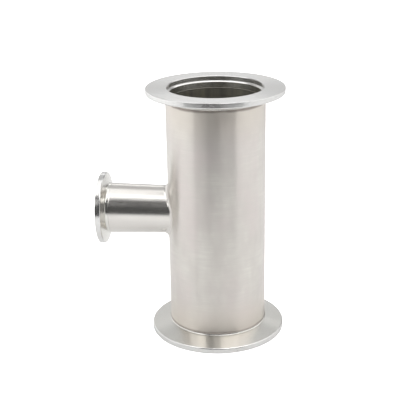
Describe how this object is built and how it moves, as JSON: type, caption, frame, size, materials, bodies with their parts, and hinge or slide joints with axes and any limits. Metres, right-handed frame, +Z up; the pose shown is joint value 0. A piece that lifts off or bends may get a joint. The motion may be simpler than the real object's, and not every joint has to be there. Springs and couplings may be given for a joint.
{
  "type": "vacuum tee",
  "caption": "Welded steel tee for vacuum lines: a straight tube with a clamp flange at each end and a smaller flanged branch pulled out of its side at mid-height.",
  "frame": {"origin": "centre of the lower sealing face, on the run axis", "axes": "+Z up along the run axis, -X along the branch, out of its mouth"},
  "size_m": [0.1025, 0.075, 0.14],
  "materials": {
    "satin_tube": "satin stainless steel, soft cloudy polish",
    "polished_tube": "bright satin stainless steel, polished round the tube",
    "turned_flange": "fine turned stainless steel with concentric tool marks",
    "weld_metal": "smooth fused weld bead, faintly straw coloured at its edges"
  },
  "bodies": {
    "root": {"run_tube": "satin_tube", "branch_tube": "polished_tube", "lower_run_flange": "turned_flange", "upper_run_flange": "turned_flange", "branch_flange": "turned_flange", "lower_run_weld": "weld_metal", "upper_run_weld": "weld_metal", "branch_weld": "weld_metal", "collar_weld": "polished_tube"}
  },
  "joints": []
}
